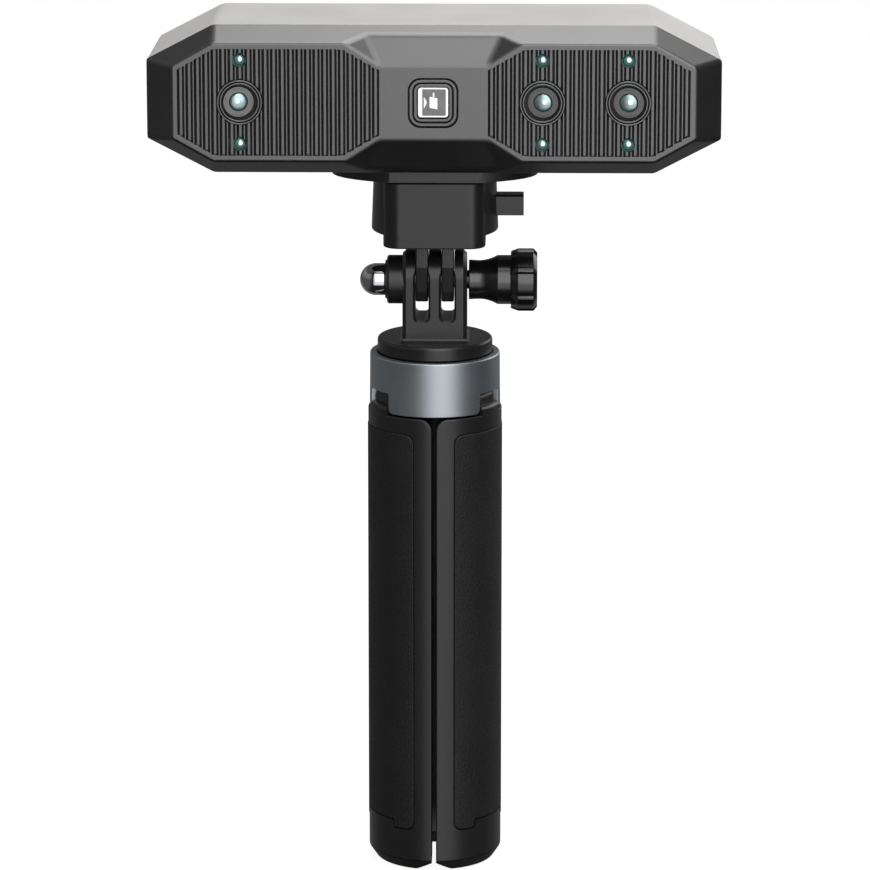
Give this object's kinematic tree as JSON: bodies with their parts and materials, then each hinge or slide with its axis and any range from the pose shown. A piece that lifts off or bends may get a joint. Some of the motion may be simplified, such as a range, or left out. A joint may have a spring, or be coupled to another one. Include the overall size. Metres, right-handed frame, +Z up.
{
  "type": "handheld 3-d scanner",
  "caption": "Handheld structured-light 3-D scanner with ribbed face, projector and lamp-flanked cameras, on a tilting knob-locked joint over a folding mini-tripod grip.",
  "frame": {"origin": "centre of the bottom of the bounding box: on the floor under the closed legs, on the handle's axis", "axes": "+Z up the handle, +X to the right of somebody who faces the lenses, so the scanner looks along -Y"},
  "size_m": [0.16, 0.0462, 0.2462],
  "materials": {
    "silver_shell": "satin warm light grey, painted",
    "dark_housing": "satin dark grey, moulded",
    "black_plastic": "satin black, moulded",
    "gloss_black": "glossy black, moulded",
    "grip_rubber": "soft black rubber with a fine grain",
    "collar_metal": "satin blue-grey anodised",
    "chrome": "polished chrome",
    "steel": "plain steel",
    "aluminium": "bare milled aluminium",
    "lens_glass": "coated glass, pale teal",
    "lamp_resin": "clear dark teal resin",
    "circuit_green": "green solder mask"
  },
  "bodies": {
    "handle": {"collar_ring": "collar_metal", "hinge_hub": "black_plastic", "head_stud": "steel", "prong_head": "black_plastic", "nut_washer": "black_plastic", "acorn_nut": "chrome", "hinge_pin_rear": "steel", "hinge_pin_left": "steel", "hinge_pin_right": "steel"},
    "rear_leg": {"leg_rear": "black_plastic", "grip_rear": "grip_rubber", "foot_rear": "grip_rubber"},
    "left_leg": {"leg_left": "black_plastic", "grip_left": "grip_rubber", "foot_left": "grip_rubber"},
    "right_leg": {"leg_right": "black_plastic", "grip_right": "grip_rubber", "foot_right": "grip_rubber"},
    "knob": {"tilt_knob": "gloss_black", "knob_screw": "steel"},
    "scanner": {"adapter_body": "black_plastic", "latch_spring": "steel", "mount_plate": "black_plastic", "mount_screw": "steel", "front_housing": "dark_housing", "rear_shell": "silver_shell", "optics_frame": "aluminium", "camera_barrel_left": "black_plastic", "camera_barrel_middle": "black_plastic", "camera_barrel_right": "black_plastic", "camera_holder_left": "black_plastic", "camera_holder_middle": "black_plastic", "camera_holder_right": "black_plastic", "camera_lens_left": "lens_glass", "camera_lens_middle": "lens_glass", "camera_lens_right": "lens_glass", "lamp_left_top": "lamp_resin", "lamp_left_bottom": "lamp_resin", "lamp_middle_top": "lamp_resin", "lamp_middle_bottom": "lamp_resin", "lamp_right_top": "lamp_resin", "lamp_right_bottom": "lamp_resin", "projector_bezel": "black_plastic", "projector_window": "lens_glass", "projector_module": "aluminium", "main_board": "circuit_green", "heat_sink": "aluminium", "cable_socket": "steel", "button_switch": "black_plastic", "housing_screw_1": "steel", "housing_screw_2": "steel", "housing_screw_3": "steel", "housing_screw_4": "steel"},
    "release": {"release_button": "black_plastic"},
    "trigger": {"scan_button": "black_plastic"}
  },
  "joints": [
    {"name": "rear_leg_fold", "type": "hinge", "parent": "handle", "child": "rear_leg", "pos_m": [0, 0.0142, 0.1375], "axis": [1, 0, 0], "range_deg": [0, 45]},
    {"name": "left_leg_fold", "type": "hinge", "parent": "handle", "child": "left_leg", "pos_m": [-0.0123, -0.0071, 0.1375], "axis": [-0.5, 0.866, 0], "range_deg": [0, 45]},
    {"name": "right_leg_fold", "type": "hinge", "parent": "handle", "child": "right_leg", "pos_m": [0.0123, -0.0071, 0.1375], "axis": [-0.5, -0.866, 0], "range_deg": [0, 45]},
    {"name": "head_tilt", "type": "hinge", "parent": "handle", "child": "scanner", "pos_m": [0, 0, 0.1704], "axis": [1, 0, 0], "range_deg": [-80, 95]},
    {"name": "knob_turn", "type": "hinge", "parent": "handle", "child": "knob", "pos_m": [0.019, 0, 0.1704], "axis": [1, 0, 0], "continuous": true},
    {"name": "release_press", "type": "slide", "parent": "scanner", "child": "release", "axis": [-1, 0, 0], "range_m": [0, 0.0025], "stiffness_N_per_m": 1500, "springref_m": -0.002, "deforming": ["latch_spring"]},
    {"name": "scan_press", "type": "slide", "parent": "scanner", "child": "trigger", "axis": [0, -1, 0], "range_m": [0, 0.0008], "stiffness_N_per_m": 1200, "springref_m": -0.0008}
  ]
}
